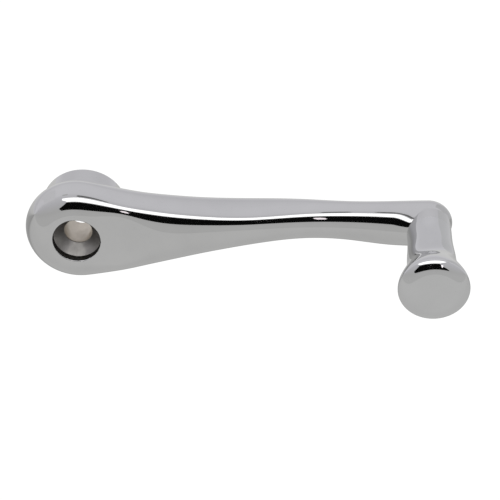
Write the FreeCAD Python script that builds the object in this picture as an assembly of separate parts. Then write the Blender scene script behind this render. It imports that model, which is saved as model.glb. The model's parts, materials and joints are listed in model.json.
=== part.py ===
"""Chromed winch handle: cast crank arm with a keyed hub, and a free-spinning knob on a trapped spindle.

Frame: origin on the hub's bore axis, at the floor of the boss's rear socket, where the bore begins. +X runs
along the arm to the knob, +Y along the bore towards the winch, +Z up. The knob points along -Y. Millimetres.
"""
import FreeCAD, Part
import math
import os

from FreeCAD import Vector

# ---- driving dimensions: arm --------------------------------------------------------------------------
ARM_REACH = 203.0            # hub axis to knob axis, the 8 inch size
HUB_R = 30.9                 # radius of the hub seen along its bore
HUB_DEPTH = 39.0             # front face of the hub to the rear face of the boss
HUB_THICK = 27.0             # thickness of the rounded hub disc
BOSS_R = 25.0                # rear boss
BOSS_SHIFT = 1.2             # its axis, from the bore's axis towards the arm
BOSS_EDGE = 1.3              # rounding of the boss's rear edge
BOSS_FILLET = 7.0            # concave fillet where the boss meets the disc
SOCKET_R = 17.5              # socket in the rear of the boss, for the shoulder of the winch's shaft
SOCKET_DEPTH = 7.5
SOCKET_EDGE = 0.8            # chamfer of the socket's mouth
END_R = 13.9                 # rounded end of the arm, about the knob's axis
END_BOSS_R = 12.9            # short cylinder under the knob
END_BOSS_RISE = 1.0          # how far it stands in front of the arm
END_BOSS_EDGE = 0.1
RECESS_R = 8.3               # recess for the spindle's nut, in the rear of the arm's end
RECESS_DEPTH = 11.5

# Sections across the arm: distance from the hub axis, half height, half height of the flat in the middle of
# the front and rear, front and rear depth behind the hub's front face, and the two exponents of the corners'
# rounding, over the height and through the depth.
ARM_SECTIONS = (
    (0.0, HUB_R, 16.4, 0.0, HUB_THICK, 1.9, 1.85),
    (8.0, 29.9, 15.9, 0.0, 26.5, 1.9, 1.87),
    (30.0, 24.4, 14.6, 0.0, 24.6, 1.9, 2.14),
    (48.0, 20.2, 3.8, -0.5, 27.5, 2.29, 2.5),
    (71.0, 15.8, 0.6, 2.1, 30.3, 2.4, 2.7),
    (99.0, 12.2, 0.0, 6.6, 33.5, 2.5, 2.7),
    (128.0, 11.0, 0.0, 11.2, 34.2, 2.03, 2.48),
    (157.0, 11.75, 0.0, 10.5, 30.5, 1.9, 2.09),
    (180.0, 13.4, 0.0, 6.8, 28.6, 1.9, 2.01),
    (ARM_REACH, END_R, 0.0, 5.1, 29.5, 1.9, 1.86),
)
HALF_SECTION_POINTS = 41
SECTION_FINENESS = 300       # steps that a half section is measured in
STATION_COUNT = 41

# ---- driving dimensions: hub bore ---------------------------------------------------------------------
SHAFT_BORE_R = 8.0           # bore for the winch's shaft
SLEEVE_R = 11.0              # outside of the brass sleeve
KEYWAY_WIDTH = 5.0
KEYWAY_DEPTH = 2.3
SEAT_R = 13.8                # counterbore for the fixing bolt's washer
SEAT_DEPTH = 4.9
SEAT_EDGE = 0.7              # rounding of the counterbore's mouth
SEAT_EDGE_LIFT = 0.02        # how far in front of the hub's flat that rounding would start
THROAT_R = 8.2               # small end of the funnel under the seat
THROAT_LIP = 0.7             # straight lip that the sleeve butts against

# ---- driving dimensions: knob and spindle -------------------------------------------------------------
SEAM_GAP = 0.12              # between the knob and the arm
KNOB_R = 20.0                # mushroom head
KNOB_RIM_DEPTH = 52.8        # knob's rear face to the head's largest circle
KNOB_RIM = 1.5               # rounding of the head's rim, up to CROWN_TURN from the knob's axis
CROWN_TURN = math.radians(47.0)
CROWN_R = 10.9               # broad rounding between the rim and the face
FACE_TURN = math.radians(3.0)    # slope of the domed face where the broad rounding ends
KNOB_EDGE = 0.12             # chamfer of the rear edge
KNOB_NECK = ((1.0, 12.75), (11.0, 12.95), (24.0, 13.8), (35.5, 14.9), (42.5, 17.2), (46.1, 18.5))
KNOB_BORE_R = 10.0           # rear part of the blind bore
KNOB_STEP = 28.0             # depth of that part
KNOB_INNER_R = 7.5           # front part, for the front bush
KNOB_BORE_DEPTH = 46.0

SPINDLE_R = 5.0
RUN_GAP = 0.05               # radial clearance of the bushes on the spindle
PLAY = 0.1                   # end play on each side of the spindle's flange
FLANGE_R = 8.5
FLANGE_H = 3.3
WASHER_H = 1.4               # thrust washers
WASHER_GAP = 0.4             # radial clearance of the thrust washers round the spindle
SPRING_H = 1.0               # disc spring's height under load
SPRING_SHEET = 0.5
CLIP_H = 1.2
CLIP_GROOVE_R = 11.0
CLIP_DEPTH = 4.9             # knob's rear face to the retaining ring
SEAL_RING_R = 9.0            # centre line of the O-ring
SEAL_SECTION_R = 0.98
SEAL_DEPTH = 3.3
COLLAR_R = 7.7               # spindle's collar inside the seal
COLLAR_H = 3.8
SEAT_WASHER_H = 1.0
SEAT_WASHER_R = 9.0
SQUARE_FLATS = 9.0           # spindle's square neck in the arm
SQUARE_CORNER_R = 5.9
SQUARE_GAP = 0.05
THREAD_R = 4.0
THREAD_CHAMFER = 0.6
LOCK_WASHER_H = 1.4
LOCK_WASHER_R = 6.9
LOCK_WASHER_SPLIT = 1.2
NUT_FLATS = 13.0
NUT_H = 6.5
TAIL_STANDOUT = 0.4          # thread showing past the nut

# ---- places worked out from them ----------------------------------------------------------------------
HUB_FRONT = SOCKET_DEPTH - HUB_DEPTH
END_FACE = HUB_FRONT + ARM_SECTIONS[-1][3] - END_BOSS_RISE
END_REAR = HUB_FRONT + ARM_SECTIONS[-1][4]
RECESS_FLOOR = END_REAR - RECESS_DEPTH
SEAT_FLOOR = HUB_FRONT + SEAT_DEPTH
THROAT = SEAT_FLOOR + (SEAT_R - THROAT_R)
SLEEVE_FRONT = THROAT + THROAT_LIP
KNOB_REAR = END_FACE - SEAM_GAP
STEP = KNOB_REAR - KNOB_STEP
FRONT_WASHER_REAR = STEP + WASHER_H
FLANGE_FRONT = FRONT_WASHER_REAR + PLAY
FLANGE_REAR = FLANGE_FRONT + FLANGE_H
REAR_WASHER_FRONT = FLANGE_REAR + PLAY
SPRING_FRONT = REAR_WASHER_FRONT + WASHER_H
REAR_BUSH_FRONT = SPRING_FRONT + SPRING_H
CLIP_REAR = KNOB_REAR - CLIP_DEPTH
CLIP_FRONT = CLIP_REAR - CLIP_H
NUT_FRONT = RECESS_FLOOR + LOCK_WASHER_H
NUT_REAR = NUT_FRONT + NUT_H

Y_AXIS = Vector(0, 1, 0)


# ---- shared shapes ------------------------------------------------------------------------------------
def turned(profile, axis_x=0.0):
    """Solid of revolution about the line parallel to Y at axis_x; the profile is a list of (Y, radius)."""
    corners = [Vector(axis_x + r, y, 0) for y, r in profile]
    face = Part.Face(Part.makePolygon(corners + corners[:1]))
    return face.revolve(Vector(axis_x, 0, 0), Y_AXIS, 360)


def ring(y_front, y_rear, inner_r, outer_r, axis_x=0.0):
    return turned([(y_front, inner_r), (y_front, outer_r), (y_rear, outer_r), (y_rear, inner_r)], axis_x)


def rod(y_front, y_rear, radius, axis_x=0.0):
    return Part.makeCylinder(radius, y_rear - y_front, Vector(axis_x, y_front, 0), Y_AXIS)


def square_bar(y_front, y_rear, flats, corner_r, axis_x):
    """Square bar along Y whose corners are turned down to corner_r."""
    corner = Vector(axis_x - flats / 2, y_front, -flats / 2)
    bar = Part.makeBox(flats, y_rear - y_front, flats, corner)
    return bar.common(rod(y_front, y_rear, corner_r, axis_x))


def mirrored(shape):
    return shape.mirror(Vector(0, 0, 0), Vector(0, 0, 1))


def clamped_spline(xs, ys):
    """Cubic spline through the points, level at both ends, as a function of x."""
    count = len(xs)
    gaps = [xs[i + 1] - xs[i] for i in range(count - 1)]
    rises = [(ys[i + 1] - ys[i]) / gaps[i] for i in range(count - 1)]
    slopes = [0.0] * count
    ratio = [0.0] * count
    for i in range(1, count - 1):
        pivot = 2 * (gaps[i - 1] + gaps[i]) - gaps[i] * ratio[i - 1]
        ratio[i] = gaps[i - 1] / pivot
        pull = 3 * (gaps[i] * rises[i - 1] + gaps[i - 1] * rises[i])
        slopes[i] = (pull - gaps[i] * slopes[i - 1]) / pivot
    for i in range(count - 2, 0, -1):
        slopes[i] -= ratio[i] * slopes[i + 1]

    def value(x):
        i = max(k for k in range(count - 1) if xs[k] <= x or k == 0)
        t = (x - xs[i]) / gaps[i]
        bend = (1 - t) * (slopes[i] - rises[i]) - t * (slopes[i + 1] - rises[i])
        return ys[i] + (x - xs[i]) * rises[i] + t * (1 - t) * gaps[i] * bend

    return value


ARM_LAWS = [clamped_spline(*zip(*[(row[0], row[column]) for row in ARM_SECTIONS])) for column in range(1, 7)]


# ---- crank arm ----------------------------------------------------------------------------------------
def section_point(turn, half_height, flat, front, rear, over, through):
    """Point (Y, Z) of a section's rounding, turned from the end of its front flat over the top to the rear.

    With z measured from the flat's end, |y / half depth| ** through + |z / rise| ** over = 1.
    """
    half_depth = (rear - front) / 2
    z_part = math.sin(turn)
    y_part = abs(math.cos(turn))
    r = 1.5
    for _ in range(30):
        y_power = (r * y_part) ** through
        z_power = (r * z_part) ** over
        r -= r * (y_power + z_power - 1) / (through * y_power + over * z_power)
    y = HUB_FRONT + (front + rear) / 2 - half_depth * r * math.cos(turn)
    return y, flat + (half_height - flat) * r * z_part


def arm_half_section(x):
    """Evenly spaced points of the upper half of the arm's section at distance x from the hub's axis."""
    half_height, flat, front, rear, over, through = [law(x) for law in ARM_LAWS]
    sizes = (half_height, max(flat, 0.0), front, rear, over, through)
    turns = [math.pi * i / SECTION_FINENESS for i in range(SECTION_FINENESS + 1)]
    fine = [(HUB_FRONT + front, 0.0)] + [section_point(turn, *sizes) for turn in turns]
    fine.append((HUB_FRONT + rear, 0.0))
    along = [0.0]
    for (y, z), (next_y, next_z) in zip(fine, fine[1:]):
        along.append(along[-1] + math.hypot(next_y - y, next_z - z))
    points = []
    k = 0
    for i in range(HALF_SECTION_POINTS):
        wanted = along[-1] * i / (HALF_SECTION_POINTS - 1)
        while k < len(fine) - 2 and along[k + 1] < wanted:
            k += 1
        part = min(1.0, (wanted - along[k]) / max(along[k + 1] - along[k], 1e-9))
        (y, z), (next_y, next_z) = fine[k], fine[k + 1]
        points.append(Vector(x, y + part * (next_y - y), z + part * (next_z - z)))
    return points


def arm_blank():
    """Hub disc, arm and rounded end as one smooth solid, mirrored about Z = 0."""
    upper = Part.BSplineSurface()
    upper.interpolate([arm_half_section(ARM_REACH * i / (STATION_COUNT - 1)) for i in range(STATION_COUNT)])
    u_first, u_last, _, _ = upper.bounds()
    hub_cap = upper.uIso(u_first).toShape().revolve(Vector(0, 0, 0), -Y_AXIS, 180)
    end_cap = upper.uIso(u_last).toShape().revolve(Vector(ARM_REACH, 0, 0), Y_AXIS, 180)
    strips = [upper.toShape(), mirrored(upper.toShape()), hub_cap, end_cap]
    shell = Part.Shell([face for strip in strips for face in strip.Faces])
    shell.sewShape()
    solid = Part.Solid(shell)
    return solid if solid.Volume > 0 else solid.reversed()


def boss_foot_edges(solid):
    """Edges where the rear boss meets the rounded disc."""
    found = []
    for edge in [edge for edge in solid.Edges if not edge.Degenerated]:
        points = edge.discretize(5)
        on_boss = all(abs(math.hypot(p.x - BOSS_SHIFT, p.z) - BOSS_R) < 0.01 for p in points)
        if on_boss and all(p.y < SOCKET_DEPTH - BOSS_EDGE - 1 for p in points):
            found.append(edge)
    return found


def lower_half_twice(solid):
    """Solid whose upper half is the mirror image of its lower half."""
    reach = ARM_REACH + 2 * HUB_R
    lower_space = Part.makeBox(2 * reach, 2 * reach, reach, Vector(-reach, -reach, -reach))
    lower = solid.common(lower_space)
    return lower.fuse(mirrored(lower))


def bore_cutter():
    """Counterbore, funnel and bore of the hub and the socket in its boss, open at both ends."""
    clear = 1.0
    return turned([
        (HUB_FRONT - clear, 0),
        (HUB_FRONT - clear, SEAT_R),
        (SEAT_FLOOR, SEAT_R),
        (THROAT, THROAT_R),
        (SLEEVE_FRONT, THROAT_R),
        (SLEEVE_FRONT, SLEEVE_R),
        (0, SLEEVE_R),
        (0, SOCKET_R),
        (SOCKET_DEPTH - SOCKET_EDGE, SOCKET_R),
        (SOCKET_DEPTH + clear, SOCKET_R + SOCKET_EDGE + clear),
        (SOCKET_DEPTH + clear, 0),
    ])


def seat_mouth_cutter():
    """Ring that rounds the counterbore's mouth."""
    def at(y, r):
        return Vector(r, HUB_FRONT - SEAT_EDGE_LIFT + y, 0)

    lean = SEAT_EDGE * (1 - math.sqrt(0.5))
    arc = Part.Arc(at(0, SEAT_R + SEAT_EDGE), at(lean, SEAT_R + lean), at(SEAT_EDGE, SEAT_R))
    outer_r = SEAT_R + SEAT_EDGE
    inner_r = SEAT_R - 1
    back = [at(SEAT_EDGE, SEAT_R), at(SEAT_EDGE, inner_r), at(-1, inner_r)]
    front = [at(-1, outer_r), at(0, outer_r)]
    outline = Part.Wire([arc.toShape()] + Part.makePolygon(back + front).Edges)
    return Part.Face(outline).revolve(Vector(0, 0, 0), Y_AXIS, 360)


def crank_arm():
    solid = arm_blank()
    boss = rod(HUB_FRONT + HUB_THICK / 2, SOCKET_DEPTH, BOSS_R, BOSS_SHIFT)
    rear_edge = [edge for edge in boss.Edges if abs(edge.CenterOfMass.y - SOCKET_DEPTH) < 0.01]
    boss = boss.makeFillet(BOSS_EDGE, rear_edge)
    solid = solid.fuse(boss)
    solid = solid.makeFillet(BOSS_FILLET, boss_foot_edges(solid))
    solid = lower_half_twice(solid)
    end_boss = rod(END_FACE, (END_FACE + END_REAR) / 2, END_BOSS_R, ARM_REACH)
    front_edge = [edge for edge in end_boss.Edges if abs(edge.CenterOfMass.y - END_FACE) < 0.01]
    solid = solid.fuse(end_boss.makeFillet(END_BOSS_EDGE, front_edge))
    solid = solid.cut(bore_cutter().fuse(seat_mouth_cutter()))
    hole_flats = SQUARE_FLATS + 2 * SQUARE_GAP
    hole = square_bar(END_FACE - 1, RECESS_FLOOR + 1, hole_flats, SQUARE_CORNER_R + SQUARE_GAP, ARM_REACH)
    recess = rod(RECESS_FLOOR, END_REAR + 1, RECESS_R, ARM_REACH)
    return solid.cut(hole).cut(recess)


def hub_sleeve():
    """Pressed brass sleeve with a keyway along its top."""
    sleeve = ring(SLEEVE_FRONT, 0, SHAFT_BORE_R, SLEEVE_R)
    corner = Vector(-KEYWAY_WIDTH / 2, SLEEVE_FRONT - 1, 0)
    length = 2 - SLEEVE_FRONT
    return sleeve.cut(Part.makeBox(KEYWAY_WIDTH, length, SHAFT_BORE_R + KEYWAY_DEPTH, corner))


# ---- spindle and its fixing ---------------------------------------------------------------------------
def spindle():
    """Shoulder stud: journal with a trapped flange, collar, square neck and threaded tail."""
    journal_front = KNOB_REAR - KNOB_BORE_DEPTH + 1
    collar_rear = END_FACE - SEAT_WASHER_H
    collar_front = collar_rear - COLLAR_H
    tail_end = NUT_REAR + TAIL_STANDOUT
    stud = turned([
        (journal_front, 0),
        (journal_front, SPINDLE_R - 0.5),
        (journal_front + 0.5, SPINDLE_R),
        (FLANGE_FRONT, SPINDLE_R),
        (FLANGE_FRONT, FLANGE_R),
        (FLANGE_REAR, FLANGE_R),
        (FLANGE_REAR, SPINDLE_R),
        (collar_front, SPINDLE_R),
        (collar_front, COLLAR_R),
        (collar_rear, COLLAR_R),
        (collar_rear, THREAD_R),
        (tail_end - THREAD_CHAMFER, THREAD_R),
        (tail_end, THREAD_R - THREAD_CHAMFER),
        (tail_end, 0),
    ], ARM_REACH)
    neck = square_bar(collar_rear - 0.5, RECESS_FLOOR - 0.3, SQUARE_FLATS, SQUARE_CORNER_R, ARM_REACH)
    return stud.fuse(neck)


def spindle_lock_washer():
    """Split spring washer under the nut."""
    washer = ring(RECESS_FLOOR, NUT_FRONT, THREAD_R + 0.15, LOCK_WASHER_R, ARM_REACH)
    corner = Vector(ARM_REACH, RECESS_FLOOR - 1, -LOCK_WASHER_SPLIT / 2)
    return washer.cut(Part.makeBox(LOCK_WASHER_R + 1, LOCK_WASHER_H + 2, LOCK_WASHER_SPLIT, corner))


def spindle_nut():
    """Hexagon nut with both faces chamfered to its corners."""
    corner_r = NUT_FLATS / 2 / math.cos(math.pi / 6)
    turns = [math.pi * i / 3 for i in range(7)]
    corners = [Vector(ARM_REACH + corner_r * math.cos(t), NUT_FRONT, corner_r * math.sin(t)) for t in turns]
    prism = Part.Face(Part.makePolygon(corners)).extrude(Vector(0, NUT_H, 0))
    flat_r = NUT_FLATS / 2 - 0.2
    slope = (corner_r - flat_r) * math.tan(math.pi / 6)
    lens = turned([
        (NUT_FRONT, 0),
        (NUT_FRONT, flat_r),
        (NUT_FRONT + slope, corner_r),
        (NUT_REAR - slope, corner_r),
        (NUT_REAR, flat_r),
        (NUT_REAR, 0),
    ], ARM_REACH)
    return prism.common(lens).cut(rod(NUT_FRONT - 1, NUT_REAR + 1, THREAD_R, ARM_REACH))


def seat_washer():
    """Thin washer that the spindle's collar clamps on the arm."""
    return ring(END_FACE - SEAT_WASHER_H, END_FACE, SQUARE_CORNER_R + 0.1, SEAT_WASHER_R, ARM_REACH)


# ---- knob ---------------------------------------------------------------------------------------------
def knob_outer_edges():
    """Outline of the knob from its rear edge over neck, rim and crown to the middle of its face."""
    def at(y, r):
        return Vector(ARM_REACH + r, y, 0)

    def on_arc(centre_y, centre_r, radius, turn):
        return at(centre_y - radius * math.cos(turn), centre_r + radius * math.sin(turn))

    def arc(centre_y, centre_r, radius, first_turn, last_turn):
        turns = (first_turn, (first_turn + last_turn) / 2, last_turn)
        return Part.Arc(*[on_arc(centre_y, centre_r, radius, turn) for turn in turns]).toShape()

    rim_y = KNOB_REAR - KNOB_RIM_DEPTH
    rim_r = KNOB_R - KNOB_RIM
    crown_y = rim_y + (CROWN_R - KNOB_RIM) * math.cos(CROWN_TURN)
    crown_r = rim_r - (CROWN_R - KNOB_RIM) * math.sin(CROWN_TURN)
    dome_r = CROWN_R + crown_r / math.sin(FACE_TURN)
    dome_y = crown_y + (dome_r - CROWN_R) * math.cos(FACE_TURN)
    neck_points = [at(KNOB_REAR - depth, r) for depth, r in KNOB_NECK] + [at(rim_y, KNOB_R)]
    neck = Part.BSplineCurve()
    neck.interpolate(Points=neck_points, InitialTangent=-Y_AXIS, FinalTangent=-Y_AXIS)
    rear_corner = at(KNOB_REAR, KNOB_NECK[0][1] - KNOB_EDGE)
    return rear_corner, at(dome_y - dome_r, 0), [
        Part.makeLine(rear_corner, neck_points[0]),
        neck.toShape(),
        arc(rim_y, rim_r, KNOB_RIM, math.pi / 2, CROWN_TURN),
        arc(crown_y, crown_r, CROWN_R, CROWN_TURN, FACE_TURN),
        arc(dome_y, 0, dome_r, FACE_TURN, 0),
    ]


def knob_shell():
    """Polished knob with a blind stepped bore and a groove for the retaining ring."""
    rear_corner, face_middle, edges = knob_outer_edges()
    rear_middle = Vector(ARM_REACH, KNOB_REAR, 0)
    edges += [Part.makeLine(face_middle, rear_middle), Part.makeLine(rear_middle, rear_corner)]
    outline = Part.Wire(Part.__sortEdges__(edges))
    solid = Part.Face(outline).revolve(rear_middle, Y_AXIS, 360)
    bore = rod(STEP, KNOB_REAR + 1, KNOB_BORE_R, ARM_REACH)
    inner = rod(KNOB_REAR - KNOB_BORE_DEPTH, STEP + 1, KNOB_INNER_R, ARM_REACH)
    groove = rod(CLIP_FRONT - 0.05, CLIP_REAR + 0.05, CLIP_GROOVE_R, ARM_REACH)
    return solid.cut(bore.fuse(inner).fuse(groove))


def retaining_ring():
    """Internal circlip: an open ring with two drilled lugs beside its gap."""
    band = ring(CLIP_FRONT, CLIP_REAR, CLIP_GROOVE_R - 2.2, CLIP_GROOVE_R - 0.05, ARM_REACH)
    lug_r = 1.5
    lug_reach = CLIP_GROOVE_R - 2.3
    gap_half_width = 3.0
    corner = Vector(ARM_REACH - gap_half_width, CLIP_FRONT - 1, 0)
    clip = band.cut(Part.makeBox(2 * gap_half_width, CLIP_H + 2, CLIP_GROOVE_R, corner))
    for side in (-1, 1):
        centre_x = ARM_REACH + side * (gap_half_width + lug_r)
        centre_z = math.sqrt(lug_reach ** 2 - (centre_x - ARM_REACH) ** 2)
        centre = Vector(centre_x, CLIP_FRONT, centre_z)
        clip = clip.fuse(Part.makeCylinder(lug_r, CLIP_H, centre, Y_AXIS))
        clip = clip.cut(Part.makeCylinder(lug_r / 2, CLIP_H, centre, Y_AXIS))
    return clip


def disc_spring():
    """Coned washer that takes up the knob's end play."""
    inner_r = SPINDLE_R + 0.6
    outer_r = KNOB_BORE_R - 0.4
    rear = REAR_BUSH_FRONT
    front = SPRING_FRONT
    return turned([
        (rear - SPRING_SHEET, inner_r),
        (rear, inner_r),
        (front + SPRING_SHEET, outer_r),
        (front, outer_r),
    ], ARM_REACH)


NODES = {
    "crank_arm": crank_arm,
    "hub_sleeve": hub_sleeve,
    "spindle": spindle,
    "seat_washer": seat_washer,
    "spindle_lock_washer": spindle_lock_washer,
    "spindle_nut": spindle_nut,
    "knob_shell": knob_shell,
    "knob_front_bush": lambda: ring(
        KNOB_REAR - KNOB_BORE_DEPTH + 1, STEP, SPINDLE_R + RUN_GAP, KNOB_INNER_R, ARM_REACH),
    "knob_rear_bush": lambda: ring(
        REAR_BUSH_FRONT, CLIP_FRONT - 0.05, SPINDLE_R + RUN_GAP, KNOB_BORE_R, ARM_REACH),
    "thrust_washer_front": lambda: ring(
        STEP, FRONT_WASHER_REAR, SPINDLE_R + WASHER_GAP, KNOB_BORE_R - 0.1, ARM_REACH),
    "thrust_washer_rear": lambda: ring(
        REAR_WASHER_FRONT, SPRING_FRONT, SPINDLE_R + WASHER_GAP, KNOB_BORE_R - 0.1, ARM_REACH),
    "disc_spring": disc_spring,
    "retaining_ring": retaining_ring,
    "knob_seal": lambda: Part.makeTorus(
        SEAL_RING_R, SEAL_SECTION_R, Vector(ARM_REACH, KNOB_REAR - SEAL_DEPTH, 0), Y_AXIS),
}

os.makedirs("parts", exist_ok=True)
for name, make in NODES.items():
    shape = make()
    if not shape.isValid() or len(shape.Solids) != 1:
        raise RuntimeError(name + " is not one valid solid")
    shape.exportStep("parts/" + name + ".step")
    box = shape.BoundBox
    print(name, round(shape.Volume), "mm3, Y", round(box.YMin, 2), "to", round(box.YMax, 2))
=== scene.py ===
"""Looks of the chromed winch handle: smooth polished metal, machined bronze and steel, in a pale studio."""

import json
import math

import bmesh
import bpy
import numpy as np
from mathutils import Matrix, Vector


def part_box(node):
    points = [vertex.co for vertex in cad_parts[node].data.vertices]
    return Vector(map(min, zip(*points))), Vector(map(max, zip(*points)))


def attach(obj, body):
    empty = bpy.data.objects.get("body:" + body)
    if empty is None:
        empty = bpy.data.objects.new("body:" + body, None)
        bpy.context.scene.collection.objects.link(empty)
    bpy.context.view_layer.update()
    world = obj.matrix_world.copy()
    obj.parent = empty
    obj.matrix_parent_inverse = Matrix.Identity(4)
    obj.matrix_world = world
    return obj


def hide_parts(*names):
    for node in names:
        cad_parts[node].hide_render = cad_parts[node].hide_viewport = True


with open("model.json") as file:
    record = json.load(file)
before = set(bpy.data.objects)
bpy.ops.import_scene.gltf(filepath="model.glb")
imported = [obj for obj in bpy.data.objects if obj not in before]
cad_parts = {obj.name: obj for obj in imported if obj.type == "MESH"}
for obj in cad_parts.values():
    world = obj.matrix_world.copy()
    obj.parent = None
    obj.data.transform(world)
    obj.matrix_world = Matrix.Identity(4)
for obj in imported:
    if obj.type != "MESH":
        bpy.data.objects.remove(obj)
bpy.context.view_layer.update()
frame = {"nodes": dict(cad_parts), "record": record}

# ---- places read from the frame, in metres ------------------------------------------------------------
knob_low, knob_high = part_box("knob_shell")
arm_low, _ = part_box("crank_arm")
KNOB_X = (knob_low.x + knob_high.x) / 2          # the knob's axis
FLOOR_Z = min(arm_low.z, knob_low.z)

# ---- camera: above the front, with a long lens --------------------------------------------------------
CAMERA_AZIMUTH = math.radians(2.65)
CAMERA_ELEVATION = math.radians(34.0)
CAMERA_ROLL = math.radians(-1.7)
CAMERA_DISTANCE = 1.094
CAMERA_LENS = 135.3          # millimetres
CAMERA_SENSOR = 36.0         # its width, in millimetres
AIM_DEPTH = -0.0135          # Y of the point aimed at, half way along the arm
AIM_RIGHT = -0.0019          # shift of the aim across the picture
AIM_UP = -0.0156             # shift of the aim up the picture

# ---- the arm's smooth skin, in millimetres ------------------------------------------------------------
MM = 0.001
ARM_REACH = round(KNOB_X / MM, 2)                # hub axis to knob axis
HUB_FRONT = -31.5            # Y from which the sections' depths are measured
HUB_R = 30.9                 # half height of the first section
END_R = 13.9                 # and of the last
# Sections across the arm: distance from the hub axis, half height, half height of the middle's flat, front
# and rear depth behind HUB_FRONT, and the exponents of the rounding over the height and the depth.
ARM_SECTIONS = np.array((
    (0.0, HUB_R, 16.4, 0.0, 27.0, 1.9, 1.85),
    (8.0, 29.9, 15.9, 0.0, 26.5, 1.9, 1.87),
    (30.0, 24.4, 14.6, 0.0, 24.6, 1.9, 2.14),
    (48.0, 20.2, 3.8, -0.5, 27.5, 2.29, 2.5),
    (71.0, 15.8, 0.6, 2.1, 30.3, 2.4, 2.7),
    (99.0, 12.2, 0.0, 6.6, 33.5, 2.5, 2.7),
    (128.0, 11.0, 0.0, 11.2, 34.2, 2.03, 2.48),
    (157.0, 11.75, 0.0, 10.5, 30.5, 1.9, 2.09),
    (180.0, 13.4, 0.0, 6.8, 28.6, 1.9, 2.01),
    (ARM_REACH, END_R, 0.0, 5.1, 29.5, 1.9, 1.86),
))
SLOPE_STEP = 0.01            # step either way when a slope is measured
NEWTON_STEPS = 4             # steps that bring a point onto the skin
WELD = 1e-7                  # vertices this near, in metres, are one
SKIN_NEAR = 0.03             # a vertex this near the section formula is on the arm's smooth skin
MIDDLE_NEAR = 3 * SKIN_NEAR  # and so is a flat face between such vertices, with its middle this near
SKIN_EDGE = 1.3              # longest edge left on the skin
SPLIT_ROUNDS = 8             # most times that the long edges are split

# ---- counterbore in the hub's front, in millimetres ---------------------------------------------------
SEAT_R = 13.8
SEAT_WALL_IN = 0.05          # a face is on its wall from this far inside SEAT_R
SEAT_WALL_OUT = 0.12         # to this far outside, measured at the face's middle
SLEEVE_FRONT = -20.3         # Y where the funnel under it ends, at the sleeve

# ---- blend round the knob's root, in millimetres ------------------------------------------------------
END_FACE = -27.4             # Y of the flat on the arm's end that carries the knob
END_BOSS_R = 12.9
ROOT_WIDTH = 9.5             # reach of the blend round the end boss
ROOT_DEPTH = 9.0             # how far behind the flat the blend dies out
ROOT_SHARE = 0.95            # share of the way to the flat that the skin is brought at the end boss
ROOT_FADE = 4.0              # the blend comes in over this length, from the knob's axis towards the hub

# ---- the knob's outline, in millimetres: depths are in front of its rear face -------------------------
KNOB_REAR = round(knob_high.y / MM, 2)           # Y of the rear face
KNOB_R = round((knob_high.x - KNOB_X) / MM, 2)
KNOB_RIM_DEPTH = 52.8        # depth where the rim's rounding starts
KNOB_RIM = 1.5               # radius of the rim's rounding
CROWN_R = 10.9               # radius of the rounding between the rim and the domed face
CROWN_TURN = math.radians(47.0)                  # angle from the axis to the outline's normal, where the
FACE_TURN = math.radians(3.0)                    # crown starts, and where the domed face starts
SEAM_COVER = 0.1             # how far the rear face is brought towards the arm, so the seam is a hairline
KNOB_REAR_R = 12.86          # edge of the rear face
KNOB_NECK = ((1.0, 12.87), (5.0, 12.86), (11.0, 12.97), (24.0, 13.8), (35.5, 14.9), (42.5, 17.2),
             (46.1, 18.5), (KNOB_RIM_DEPTH, KNOB_R))                         # depth, radius
KNOB_BORES = ((4.85, 10.0), (6.15, 11.0), (28.0, 10.0), (46.0, 7.5))         # depth where it ends, radius
NECK_POINTS, RIM_POINTS, CROWN_POINTS, FACE_POINTS = 90, 12, 40, 24
KNOB_SIDES = 224
SAME_PLACE = 5               # decimals to which two rings agree when they are one
ON_AXIS = 1e-6               # a ring smaller than this is a point

# ---- materials ----------------------------------------------------------------------------------------
# Polished: tint.
POLISHED = {
    "chromed_casting": ((0.562, 0.562, 0.562, 1),),
    "polished_knob": ((0.58, 0.582, 0.585, 1),),
}
# Machined: tint, tint of the dull film, roughness, and how much finer the tool marks are along Y.
MACHINED = {
    "machined_seat": ((0.33, 0.32, 0.305, 1), (0.26, 0.25, 0.24, 1), 0.3, 5.0),
    # The counterbore's wall: near black for painted shade in the recess, not a tint of the metal itself.
    "dark_wall": ((0.05, 0.05, 0.05, 1), (0.1, 0.098, 0.095, 1), 0.3, 5.0),
    "bronze_sleeve": ((0.56, 0.515, 0.445, 1), (0.46, 0.42, 0.365, 1), 0.3, 6.0),
    "stainless_spindle": ((0.6, 0.6, 0.6, 1), (0.5, 0.5, 0.5, 1), 0.22, 9.0),
    "stainless_fixings": ((0.6, 0.6, 0.6, 1), (0.48, 0.48, 0.48, 1), 0.25, 4.0),
    "bronze_washer": ((0.62, 0.48, 0.28, 1), (0.5, 0.38, 0.22, 1), 0.3, 3.0),
    "spring_steel": ((0.3, 0.29, 0.28, 1), (0.2, 0.2, 0.2, 1), 0.3, 4.0),
}
# Moulded: tint, tint of its clouds, roughness.
MOULDED = {
    "nylon_bush": ((0.82, 0.80, 0.73, 1), (0.76, 0.74, 0.66, 1), 0.45),
    "rubber_seal": ((0.02, 0.02, 0.02, 1), (0.03, 0.03, 0.03, 1), 0.55),
}
CHROME_ROUGHNESS = 0.02, 0.06                    # clean, and under a smear
SMEAR_SHADE = 0.95           # the chrome's tint under a smear
FILM_ROUGHNESS = 0.14        # added by the dull film
CLOUD_ROUGHNESS = 0.1        # added by a moulded piece's clouds
WAVE_HEIGHT = 0.00003        # metres: waviness of the polished castings,
MARK_HEIGHT = 0.00002        # tool marks,
MOULD_HEIGHT = 0.00003       # and skin of the moulded pieces
NOISE_LOW, NOISE_HIGH = 0.3, 0.7                 # where most of a noise's values lie

# ---- stage: metres, on a cylinder about the X axis ----------------------------------------------------
STAGE_RADIUS = 0.9
CARD_ROWS = 16
BLACK = 0.004
NEUTRAL = (1, 1, 1)
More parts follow.
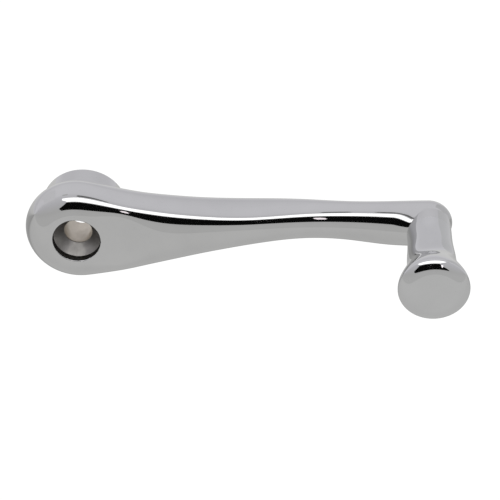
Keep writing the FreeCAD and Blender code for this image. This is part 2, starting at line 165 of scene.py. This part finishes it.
# Card: rows of (degrees from the front over the top, X of the left end, X of the right end), strength, tint
# and how far it stands in front of the cylinder.
CARDS = {
    "stage_black_card": (
        ((8.0, -0.35, 0.62), (13.0, -0.41, 0.62), (18.0, -0.46, 0.58), (22.0, -0.42, 0.53),
         (28.0, -0.37, 0.47), (34.0, -0.33, 0.43), (41.0, -0.29, 0.40)),
        BLACK, NEUTRAL, 0.0),
    "stage_strip_light": (
        ((41.0, -0.29, 0.42), (45.0, -0.34, 0.47), (49.0, -0.44, 0.60), (53.0, -0.46, 0.68),
         (57.5, -0.46, 0.70)),
        2.1, NEUTRAL, 0.0),
    "stage_soft_edge": (((38.8, -0.30, 0.41), (41.0, -0.29, 0.40)), 0.5, NEUTRAL, 0.01),
    "stage_left_shade": (
        ((64.0, -1.8, -0.80), (120.0, -1.8, -0.70), (140.0, -1.8, -0.9)), 0.835, (1.0, 0.995, 1.03), 0.0),
    "stage_right_shade": (
        ((112.0, 0.66, 2.2), (150.0, 0.63, 2.2), (205.0, 0.61, 2.2)), 0.70, (1.0, 1.0, 1.02), 0.0),
    "stage_lamp": (
        ((21.0, 0.09, 0.14), (25.0, 0.08, 0.164), (29.0, 0.09, 0.166), (31.5, 0.12, 0.16)),
        1.6, (1.0, 0.92, 0.95), 0.02),
    "stage_side_lamp": (
        ((20.0, 0.425, 0.445), (26.0, 0.425, 0.485), (33.0, 0.425, 0.49)), 2.0, (1.0, 0.94, 0.97), 0.02),
    "stage_dark_line": (((61.0, -0.02, 0.10), (64.0, -0.05, 0.12), (67.5, -0.03, 0.09)), 0.2, NEUTRAL, 0.0),
    "stage_dark_line_left": (((69.5, -0.46, -0.30), (75.0, -0.47, -0.28)), 0.62, NEUTRAL, 0.0),
    "stage_dark_line_right": (((63.0, 0.52, 0.9), (73.0, 0.50, 0.95)), 0.32, NEUTRAL, 0.0),
}
FLAG_X = 0.168
FLAG_CORNERS = ((0.125, 8), (0.86, 8), (0.86, 32.5), (0.3, 26), (0.125, 17))     # radius, degrees
# Grey of the studio: degrees from the front, over the top to the back or, below zero, under it; level.
STUDIO_LEVELS = (
    (-180, 0.83), (-164, 0.76), (-152, 0.52), (-126, 0.46), (-112, 0.64), (-95, 0.69), (-60, 0.71),
    (-32, 0.74), (-23, 0.735), (-21.6, 0.62), (-20.2, 0.665), (-8, 0.66), (8, 0.63), (41, 0.70), (58, 0.76),
    (68, 0.79), (76, 0.87), (100, 0.885), (130, 0.875), (145, 0.845), (153, 0.785), (165, 0.785),
    (173, 0.83), (180, 0.84))
FRONT_TINT = (1.0, 0.998, 0.99)
TOP_TINT = (1.0, 0.993, 1.035)
TOP_FROM = 20                # degrees from the front
CAMERA_WHITE = 1.05          # floor and studio as the camera sees them
FLOOR_REACH = 6.0
FLOOR_GAP = 0.0004           # between the floor and the handle's lowest point


def make_camera():
    sin_az, cos_az = math.sin(CAMERA_AZIMUTH), math.cos(CAMERA_AZIMUTH)
    sin_el, cos_el = math.sin(CAMERA_ELEVATION), math.cos(CAMERA_ELEVATION)
    back = Vector((sin_az * cos_el, -cos_az * cos_el, sin_el))
    right = Vector((cos_az, sin_az, 0))
    up = back.cross(right)
    turn = Matrix.Rotation(CAMERA_ROLL, 3, back)
    right, up = turn @ right, turn @ up
    aim = Vector((KNOB_X / 2, AIM_DEPTH, 0)) + right * AIM_RIGHT + up * AIM_UP
    data = bpy.data.cameras.new("camera")
    data.sensor_width = CAMERA_SENSOR
    data.lens = CAMERA_LENS
    camera = bpy.data.objects.new("camera", data)
    camera.matrix_world = Matrix.Translation(aim + back * CAMERA_DISTANCE) @ Matrix(
        (right, up, back)).transposed().to_4x4()
    bpy.context.scene.collection.objects.link(camera)
    bpy.context.scene.camera = camera


# ---- curves and vectors -------------------------------------------------------------------------------
def clamped_spline(xs, ys):
    """Cubic spline through the points, level at both ends, as a function of an array."""
    gaps = np.diff(xs)
    rises = np.diff(ys) / gaps
    count = len(xs)
    matrix = np.eye(count)
    pull = np.zeros(count)
    for i in range(1, count - 1):
        matrix[i, i - 1:i + 2] = gaps[i], 2 * (gaps[i - 1] + gaps[i]), gaps[i - 1]
        pull[i] = 3 * (gaps[i] * rises[i - 1] + gaps[i - 1] * rises[i])
    slopes = np.linalg.solve(matrix, pull)

    def value(x):
        i = np.clip(np.searchsorted(xs, x, side="right") - 1, 0, count - 2)
        t = (x - xs[i]) / gaps[i]
        bend = (1 - t) * (slopes[i] - rises[i]) - t * (slopes[i + 1] - rises[i])
        return ys[i] + (x - xs[i]) * rises[i] + t * (1 - t) * gaps[i] * bend

    return value


def unit(vectors):
    return vectors / np.linalg.norm(vectors, axis=1)[:, None]


def gradient(law, points):
    """Slope of a function of place, law, at each point."""
    slope = np.zeros_like(points)
    for axis in range(3):
        shift = np.zeros(3)
        shift[axis] = SLOPE_STEP
        slope[:, axis] = (law(points + shift) - law(points - shift)) / (2 * SLOPE_STEP)
    return slope


def directions(points):
    """Direction along a curve at each point, from the circle through the point and its neighbours."""
    steps = np.diff(points, axis=0)
    lengths = np.linalg.norm(steps, axis=1)[:, None]
    ahead = steps / lengths
    if len(points) == 2:
        return np.vstack([ahead, ahead])
    middle = (ahead[:-1] * lengths[1:] + ahead[1:] * lengths[:-1]) / (lengths[:-1] + lengths[1:])
    first = 2 * ahead[0] - middle[0]
    last = 2 * ahead[-1] - middle[-1]
    return np.vstack([first, middle, last])


# ---- pieces that stand for CAD nodes ------------------------------------------------------------------
def finished_piece(name, mesh, normals, node):
    """Object of the mesh with its own corner normals, standing for a CAD node."""
    mesh.polygons.foreach_set("use_smooth", [True] * len(mesh.polygons))
    mesh.normals_split_custom_set(np.asarray(normals, float).tolist())
    mesh.materials.clear()
    mesh.materials.append(materials[slot_of[node]])
    piece = bpy.data.objects.new(name, mesh)
    bpy.context.scene.collection.objects.link(piece)
    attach(piece, body_of[node])
    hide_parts(node)
    return piece


# ---- arm ----------------------------------------------------------------------------------------------
ARM_LAWS = [clamped_spline(ARM_SECTIONS[:, 0], column) for column in ARM_SECTIONS.T[1:]]


def skin_level(points):
    """Zero on the arm's skin, below zero inside; past the two axes the end sections turn about them."""
    x = np.clip(points[:, 0], 0.0, ARM_REACH)
    z = np.hypot(points[:, 0] - x, points[:, 2])
    half_height, flat, front, rear, over, through = [law(x) for law in ARM_LAWS]
    flat = np.maximum(flat, 0.0)
    y_part = np.abs(points[:, 1] - HUB_FRONT - (front + rear) / 2) / ((rear - front) / 2)
    z_part = np.maximum(z - flat, 0.0) / (half_height - flat)
    return y_part ** through + z_part ** over - 1


def skin_distance(points):
    return skin_level(points) / np.linalg.norm(gradient(skin_level, points), axis=1)


def onto_skin(points):
    for _ in range(NEWTON_STEPS):
        slope = gradient(skin_level, points)
        points = points - slope * (skin_level(points) / (slope ** 2).sum(axis=1))[:, None]
    return points


def root_rise(points):
    """How far the blend round the knob's root brings the arm's skin forward, as a change of Y."""
    from_axis = np.hypot(points[:, 0] - ARM_REACH, points[:, 2]) - END_BOSS_R
    behind = points[:, 1] - END_FACE
    near = np.clip(1 - from_axis / ROOT_WIDTH, 0.0, 1.0) ** 2
    shallow = np.clip(1 - behind / ROOT_DEPTH, 0.0, 1.0) ** 2
    on_arm = np.clip((ARM_REACH - points[:, 0]) / ROOT_FADE, 0.0, 1.0)
    return -ROOT_SHARE * behind * near * shallow * on_arm * on_arm * (3 - 2 * on_arm)


def root_blend(points, normals):
    """Points and normals of the skin, brought forward by root_rise."""
    change = gradient(root_rise, points)
    turned = unit(normals - change * (normals[:, 1] / (1 + change[:, 1]))[:, None])
    moved = points.copy()
    moved[:, 1] += root_rise(points)
    return moved, turned


def positions(vertices):
    """Places of the vertices, in millimetres."""
    return np.array([vertex.co for vertex in vertices]).reshape(-1, 3) / MM


def values(items, name, kind=np.float32, width=1):
    """The named value of each of a mesh's items, width numbers long, in one flat array."""
    found = np.zeros(len(items) * width, kind)
    items.foreach_get(name, found)
    return found


def mark_skin(bm):
    """Marks the faces of the arm's smooth skin with 1, in a layer named skin."""
    skin = bm.faces.layers.int.new("skin")
    bm.verts.index_update()
    on_skin = np.abs(skin_distance(positions(bm.verts))) < SKIN_NEAR
    middles = np.array([face.calc_center_median() for face in bm.faces]) / MM
    near = np.abs(skin_distance(middles)) < MIDDLE_NEAR
    for face, is_near in zip(bm.faces, near):
        face[skin] = int(is_near and all(on_skin[vertex.index] for vertex in face.verts))
    return skin


def refine_skin(bm, skin):
    """Splits the skin's long edges, with the new vertices brought onto the skin."""
    for _ in range(SPLIT_ROUNDS):
        long = [edge for edge in bm.edges if edge.calc_length() > SKIN_EDGE * MM
                and len(edge.link_faces) == 2 and all(face[skin] for face in edge.link_faces)]
        if not long:
            break
        made = bmesh.ops.subdivide_edges(bm, edges=long, cuts=1)
        added = [item for item in made["geom_inner"] if isinstance(item, bmesh.types.BMVert)]
        for vertex, place in zip(added, onto_skin(positions(added)) * MM):
            vertex.co = place
        bmesh.ops.triangulate(bm, faces=[face for face in bm.faces if len(face.verts) > 3])


def arm_piece():
    """The arm's CAD mesh with its smooth skin made fine, and with the skin's true normals."""
    mesh = frame["nodes"]["crank_arm"].data.copy()
    mesh.name = "arm_casting"
    normals = values(mesh.corner_normals, "vector", width=3)
    mesh.attributes.new("kept_normal", "FLOAT_VECTOR", "CORNER").data.foreach_set("vector", normals)
    bm = bmesh.new()
    bm.from_mesh(mesh)
    bmesh.ops.remove_doubles(bm, verts=bm.verts, dist=WELD)
    refine_skin(bm, mark_skin(bm))
    bm.to_mesh(mesh)
    bm.free()
    face_skin = values(mesh.attributes["skin"].data, "value", np.int32).astype(bool)
    corner_skin = np.repeat(face_skin, 3)        # every face is a triangle
    corner_vertex = values(mesh.loops, "vertex_index", np.int32)
    normals = values(mesh.attributes["kept_normal"].data, "vector", width=3).reshape(-1, 3)
    places = positions(mesh.vertices)
    blended, skin_normals = root_blend(places, unit(gradient(skin_level, places)))
    normals[corner_skin] = skin_normals[corner_vertex][corner_skin]
    skin_vertices = np.unique(corner_vertex[corner_skin])
    places[skin_vertices] = blended[skin_vertices]
    mesh.vertices.foreach_set("co", (places * MM).astype(np.float32).ravel())
    for name in ("skin", "kept_normal"):
        mesh.attributes.remove(mesh.attributes[name])
    finish_seat(finished_piece("arm_casting", mesh, normals, "crank_arm"))


def finish_seat(piece):
    """Paints shade on the counterbore's wall as near-black metal, and gives its floor and the funnel under
    it a machined finish.
    """
    machined, dark = 1, 2        # places in the piece's list of materials
    for name in ("machined_seat", "dark_wall"):
        piece.data.materials.append(materials[name])
    for polygon in piece.data.polygons:
        middle = polygon.center / MM
        r = math.hypot(middle.x, middle.z)
        if r < SEAT_R + SEAT_WALL_OUT and middle.y < SLEEVE_FRONT:
            # faces on the wall take the near-black painted shade
            polygon.material_index = machined if r < SEAT_R - SEAT_WALL_IN else dark


# ---- knob ---------------------------------------------------------------------------------------------
def knob_runs():
    """Smooth runs of the knob's closed outline, as lists of (depth, radius)."""
    rim_r = KNOB_R - KNOB_RIM
    crown_depth = KNOB_RIM_DEPTH - (CROWN_R - KNOB_RIM) * math.cos(CROWN_TURN)
    crown_r = rim_r - (CROWN_R - KNOB_RIM) * math.sin(CROWN_TURN)
    dome_r = CROWN_R + crown_r / math.sin(FACE_TURN)
    dome_depth = crown_depth - (dome_r - CROWN_R) * math.cos(FACE_TURN)

    def arc(depth, r, radius, first, last, count):
        turns = np.linspace(first, last, count)
        return list(zip(depth + radius * np.cos(turns), r + radius * np.sin(turns)))

    neck_depths, neck_radii = np.array(KNOB_NECK).T
    depths = np.linspace(neck_depths[0], KNOB_RIM_DEPTH, NECK_POINTS)
    outside = list(zip(depths, clamped_spline(neck_depths, neck_radii)(depths)))
    outside += arc(KNOB_RIM_DEPTH, rim_r, KNOB_RIM, math.pi / 2, CROWN_TURN, RIM_POINTS)[1:]
    outside += arc(crown_depth, crown_r, CROWN_R, CROWN_TURN, FACE_TURN, CROWN_POINTS)[1:]
    outside += arc(dome_depth, 0.0, dome_r, FACE_TURN, 0.0, FACE_POINTS)[1:]
    corners = [KNOB_NECK[0], (-SEAM_COVER, KNOB_REAR_R), (-SEAM_COVER, KNOB_BORES[0][1])]
    for (depth, r), (_, next_r) in zip(KNOB_BORES, KNOB_BORES[1:] + ((0, 0),)):
        corners += [(depth, r), (depth, next_r)]
    corners.reverse()
    return [list(pair) for pair in zip(corners, corners[1:])] + [outside]


def knob_piece():
    """The knob as a fine lathed solid; each run of its outline is smooth, with an edge between runs."""
    places, normals, faces = [], [], []
    rings = {}
    turns = 2 * math.pi * np.arange(KNOB_SIDES) / KNOB_SIDES

    def ring(depth, r):
        """Numbers of the vertices round the axis at this depth and radius."""
        key = (round(depth, SAME_PLACE), round(r, SAME_PLACE))
        if key not in rings:
            y = KNOB_REAR - depth
            first = len(places)
            if r < ON_AXIS:
                places.append((ARM_REACH, y, 0.0))
                rings[key] = [first] * KNOB_SIDES
            else:
                places.extend((ARM_REACH + r * math.cos(t), y, r * math.sin(t)) for t in turns)
                rings[key] = list(range(first, first + KNOB_SIDES))
        return rings[key]

    for run in knob_runs():
        points = np.array(run)
        along = directions(points)
        across = unit(np.stack([-along[:, 1], along[:, 0]], axis=1))
        for k in range(len(points) - 1):
            lower, upper = ring(*points[k]), ring(*points[k + 1])
            for i in range(KNOB_SIDES):
                j = (i + 1) % KNOB_SIDES
                corners = [(lower[i], k, i), (lower[j], k, j), (upper[j], k + 1, j), (upper[i], k + 1, i)]
                if upper[i] == upper[j]:
                    corners.pop(2)
                if lower[i] == lower[j]:
                    corners.pop(1)
                faces.append([vertex for vertex, _, _ in corners])
                for _, row, side in corners:
                    forward, outward = across[row]
                    turn = turns[side]
                    normals.append((outward * math.cos(turn), -forward, outward * math.sin(turn)))
    mesh = bpy.data.meshes.new("knob_casting")
    mesh.from_pydata((np.array(places) * MM).tolist(), [], faces)
    finished_piece("knob_casting", mesh, normals, "knob_shell")


# ---- materials ----------------------------------------------------------------------------------------
class Nodes:
    """A node tree, with a short way to add and link nodes."""

    def __init__(self, tree):
        self.tree = tree

    def add(self, kind, settings=None, **inputs):
        node = self.tree.nodes.new(kind)
        for key, value in (settings or {}).items():
            setattr(node, key, value)
        self.fill(node, inputs)
        return node

    def fill(self, node, inputs):
        for key, value in inputs.items():
            self.feed(node, key.replace("_", " "), value)

    def surface(self, **inputs):
        self.fill(self.tree.nodes["Principled BSDF"], inputs)

    def feed(self, node, key, value):
        if isinstance(value, bpy.types.NodeSocket):
            self.tree.links.new(value, node.inputs[key])
        else:
            node.inputs[key].default_value = value

    def place(self):
        return self.add("ShaderNodeTexCoord").outputs["Object"]

    def noise(self, scale, detail, roughness, vector=None):
        return self.add("ShaderNodeTexNoise", Vector=vector or self.place(), Scale=scale, Detail=detail,
                        Roughness=roughness).outputs["Fac"]

    def spread(self, value, low, high, start=NOISE_LOW, end=NOISE_HIGH):
        """value from start to end becomes low to high."""
        return self.add("ShaderNodeMapRange", Value=value, From_Min=start, From_Max=end, To_Min=low,
                        To_Max=high).outputs["Result"]

    def compute(self, operation, first, second):
        node = self.add("ShaderNodeMath", {"operation": operation})
        for i, value in enumerate((first, second)):
            self.feed(node, i, value)
        return node.outputs[0]

    def mix(self, factor, first, second):
        """Mix of two colours, which are inputs 6 and 7 of the node, and its output 2."""
        node = self.add("ShaderNodeMix", {"data_type": "RGBA"})
        for i, value in ((0, factor), (6, first), (7, second)):
            self.feed(node, i, value)
        return node.outputs[2]

    def bump(self, height, distance):
        return self.add("ShaderNodeBump", Height=height, Distance=distance).outputs["Normal"]


def new_material(name):
    material = bpy.data.materials.new(name)
    material.use_nodes = True
    return material, Nodes(material.node_tree)


def polished_chrome(name, tint):
    """Mirror chrome over a hand-polished casting: faint waviness and faint smears."""
    material, n = new_material(name)
    smear = n.noise(scale=38.0, detail=4.0, roughness=0.62)
    waves = n.noise(scale=22.0, detail=1.0, roughness=0.3)
    smeared = tuple(SMEAR_SHADE * part for part in tint[:3]) + (1.0,)
    n.surface(Base_Color=n.mix(n.spread(smear, 0, 1), tint, smeared), Metallic=1.0,
              Roughness=n.spread(smear, *CHROME_ROUGHNESS), Normal=n.bump(waves, WAVE_HEIGHT))
    return material


def machined_metal(name, tint, dull, roughness, stretch):
    """Turned or ground metal with fine tool marks and a slightly duller film in patches."""
    material, n = new_material(name)
    film = n.noise(scale=120.0, detail=5.0, roughness=0.6)
    stretched = n.add("ShaderNodeMapping", Vector=n.place(), Scale=(1.0, stretch, 1.0))
    marks = n.noise(scale=700.0, detail=3.0, roughness=0.7, vector=stretched.outputs["Vector"])
    n.surface(Base_Color=n.mix(n.spread(film, 0, 1), tint, dull), Metallic=1.0,
              Roughness=n.spread(film, roughness, roughness + FILM_ROUGHNESS),
              Normal=n.bump(marks, MARK_HEIGHT))
    return material


def moulded(name, tint, shade, roughness):
    """Plain moulded plastic or rubber with a faint skin texture."""
    material, n = new_material(name)
    skin = n.noise(scale=1500.0, detail=2.0, roughness=0.6)
    cloud = n.noise(scale=90.0, detail=3.0, roughness=0.5)
    n.surface(Base_Color=n.mix(n.spread(cloud, 0, 1), tint, shade), Metallic=0.0,
              Roughness=n.spread(cloud, roughness, roughness + CLOUD_ROUGHNESS),
              Normal=n.bump(skin, MOULD_HEIGHT))
    return material


def glow_material(name, strength, tint):
    material, n = new_material(name)
    n.tree.nodes.clear()
    glow = n.add("ShaderNodeEmission", Color=(*tint, 1), Strength=strength)
    n.add("ShaderNodeOutputMaterial", Surface=glow.outputs[0])
    return material


# ---- stage --------------------------------------------------------------------------------------------
def on_stage(x, radius, degrees):
    """Point at a radius from the X axis, so many degrees from the front over the top."""
    turn = math.radians(degrees)
    return x, -radius * math.cos(turn), radius * math.sin(turn)


def stage_mesh(name, places, faces, strength, tint=NEUTRAL):
    """A glowing or black face of the stage."""
    mesh = bpy.data.meshes.new(name)
    mesh.from_pydata(places, [], faces)
    mesh.materials.append(glow_material(name, strength, tint))
    item = bpy.data.objects.new(name, mesh)
    bpy.context.scene.collection.objects.link(item)
    item.visible_shadow = False
    return item


def stage_card(name, rows, strength, tint, inset):
    """A card on the stage's cylinder, or in front of it by inset, which only reflections show."""
    angles, lefts, rights = np.array(rows).T
    fine = np.linspace(angles[0], angles[-1], CARD_ROWS)
    places = []
    for degrees, left, right in zip(fine, np.interp(fine, angles, lefts), np.interp(fine, angles, rights)):
        places += [on_stage(x, STAGE_RADIUS - inset, degrees) for x in (left, right)]
    faces = [(2 * i, 2 * i + 1, 2 * i + 3, 2 * i + 2) for i in range(CARD_ROWS - 1)]
    stage_mesh(name, places, faces, strength, tint).visible_camera = False


def lamp_flag():
    """A black flag across the stage, which keeps the lamp out of the arm's end and the knob."""
    places = [on_stage(FLAG_X, radius, degrees) for radius, degrees in FLAG_CORNERS]
    stage_mesh("stage_flag", places, [range(len(places))], BLACK).visible_camera = False


def stage_floor():
    """White for the camera, and in no reflection."""
    z = FLOOR_Z - FLOOR_GAP
    corners = [(x * FLOOR_REACH, y * FLOOR_REACH, z) for x, y in ((-1, -1), (1, -1), (1, 1), (-1, 1))]
    floor = stage_mesh("stage_floor", corners, [(0, 1, 2, 3)], CAMERA_WHITE)
    for ray in ("glossy", "diffuse", "transmission"):
        setattr(floor, "visible_" + ray, False)


def make_world():
    """White for the camera; round the handle a grey that changes with the angle about its long axis."""
    world = bpy.data.worlds.new("studio")
    bpy.context.scene.world = world
    world.use_nodes = True
    n = Nodes(world.node_tree)
    n.tree.nodes.clear()
    place = n.add("ShaderNodeTexCoord")
    split = n.add("ShaderNodeSeparateXYZ", Vector=place.outputs["Generated"])
    front = n.compute("MULTIPLY", split.outputs["Y"], -1.0)
    turn = n.compute("ARCTAN2", split.outputs["Z"], front)
    ramp = n.add("ShaderNodeValToRGB", Fac=n.spread(turn, 0, 1, -math.pi, math.pi))
    elements = ramp.color_ramp.elements
    for i, (degrees, level) in enumerate(STUDIO_LEVELS):
        position = (degrees + 180) / 360
        element = elements[i] if i < 2 else elements.new(position)      # a new ramp has two elements
        element.position = position
        element.color = (*[level * part for part in (TOP_TINT if degrees > TOP_FROM else FRONT_TINT)], 1)
    lit = n.add("ShaderNodeBackground", Color=ramp.outputs["Color"])
    seen = n.add("ShaderNodeBackground", Color=(*NEUTRAL, 1), Strength=CAMERA_WHITE)
    mix = n.add("ShaderNodeMixShader", Fac=n.add("ShaderNodeLightPath").outputs["Is Camera Ray"])
    for i, background in enumerate((lit, seen)):
        n.feed(mix, 1 + i, background.outputs[0])
    n.add("ShaderNodeOutputWorld", Surface=mix.outputs[0])


# ---- dressing the CAD nodes ---------------------------------------------------------------------------
materials = {}
for make, table in ((polished_chrome, POLISHED), (machined_metal, MACHINED), (moulded, MOULDED)):
    for name, look in table.items():
        materials[name] = make(name, *look)

slot_of = {row["node"]: row["material_slot"] for row in frame["record"]["subparts"]}
body_of = {node: body for body, nodes in frame["record"]["behaviour"]["bodies"].items() for node in nodes}
for node, item in frame["nodes"].items():
    item.data.materials.clear()
    item.data.materials.append(materials[slot_of[node]])

arm_piece()
knob_piece()
make_camera()
for name, card in CARDS.items():
    stage_card(name, *card)
lamp_flag()
stage_floor()
make_world()
bpy.context.scene.view_settings.view_transform = "Standard"
